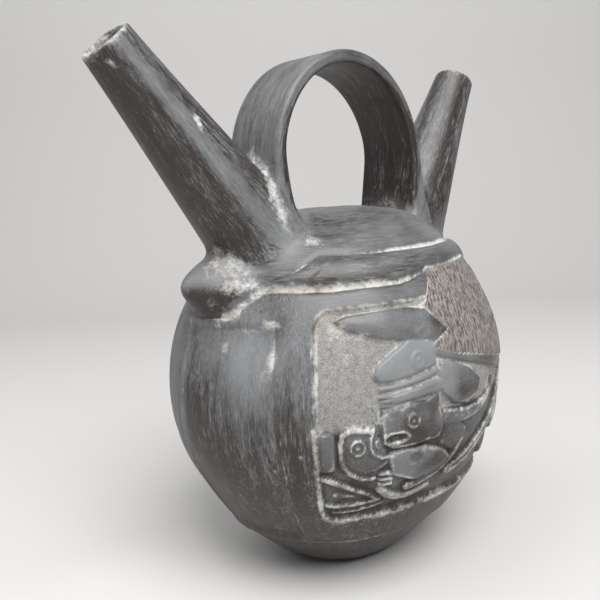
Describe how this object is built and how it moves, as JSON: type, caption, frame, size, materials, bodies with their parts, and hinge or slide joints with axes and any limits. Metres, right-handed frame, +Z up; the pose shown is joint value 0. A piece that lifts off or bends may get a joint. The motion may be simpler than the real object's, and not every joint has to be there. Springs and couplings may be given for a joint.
{
  "type": "double-spout bottle",
  "caption": "Burnished black clay bottle with a rounded body, slanted tapered spouts, an arched strap handle, small shoulder lugs and a framed panel of animal relief.",
  "frame": {"origin": "centre of the flat base, on the surface that the bottle stands on", "axes": "+Z up; -Y out of the front relief panel; +X towards the spout that stands more upright"},
  "size_m": [0.1904, 0.1204, 0.1998],
  "materials": {
    "clay": "burnished black fired clay with pale dirt in the grooves"
  },
  "bodies": {
    "root": {"bottle": "clay"}
  },
  "joints": []
}
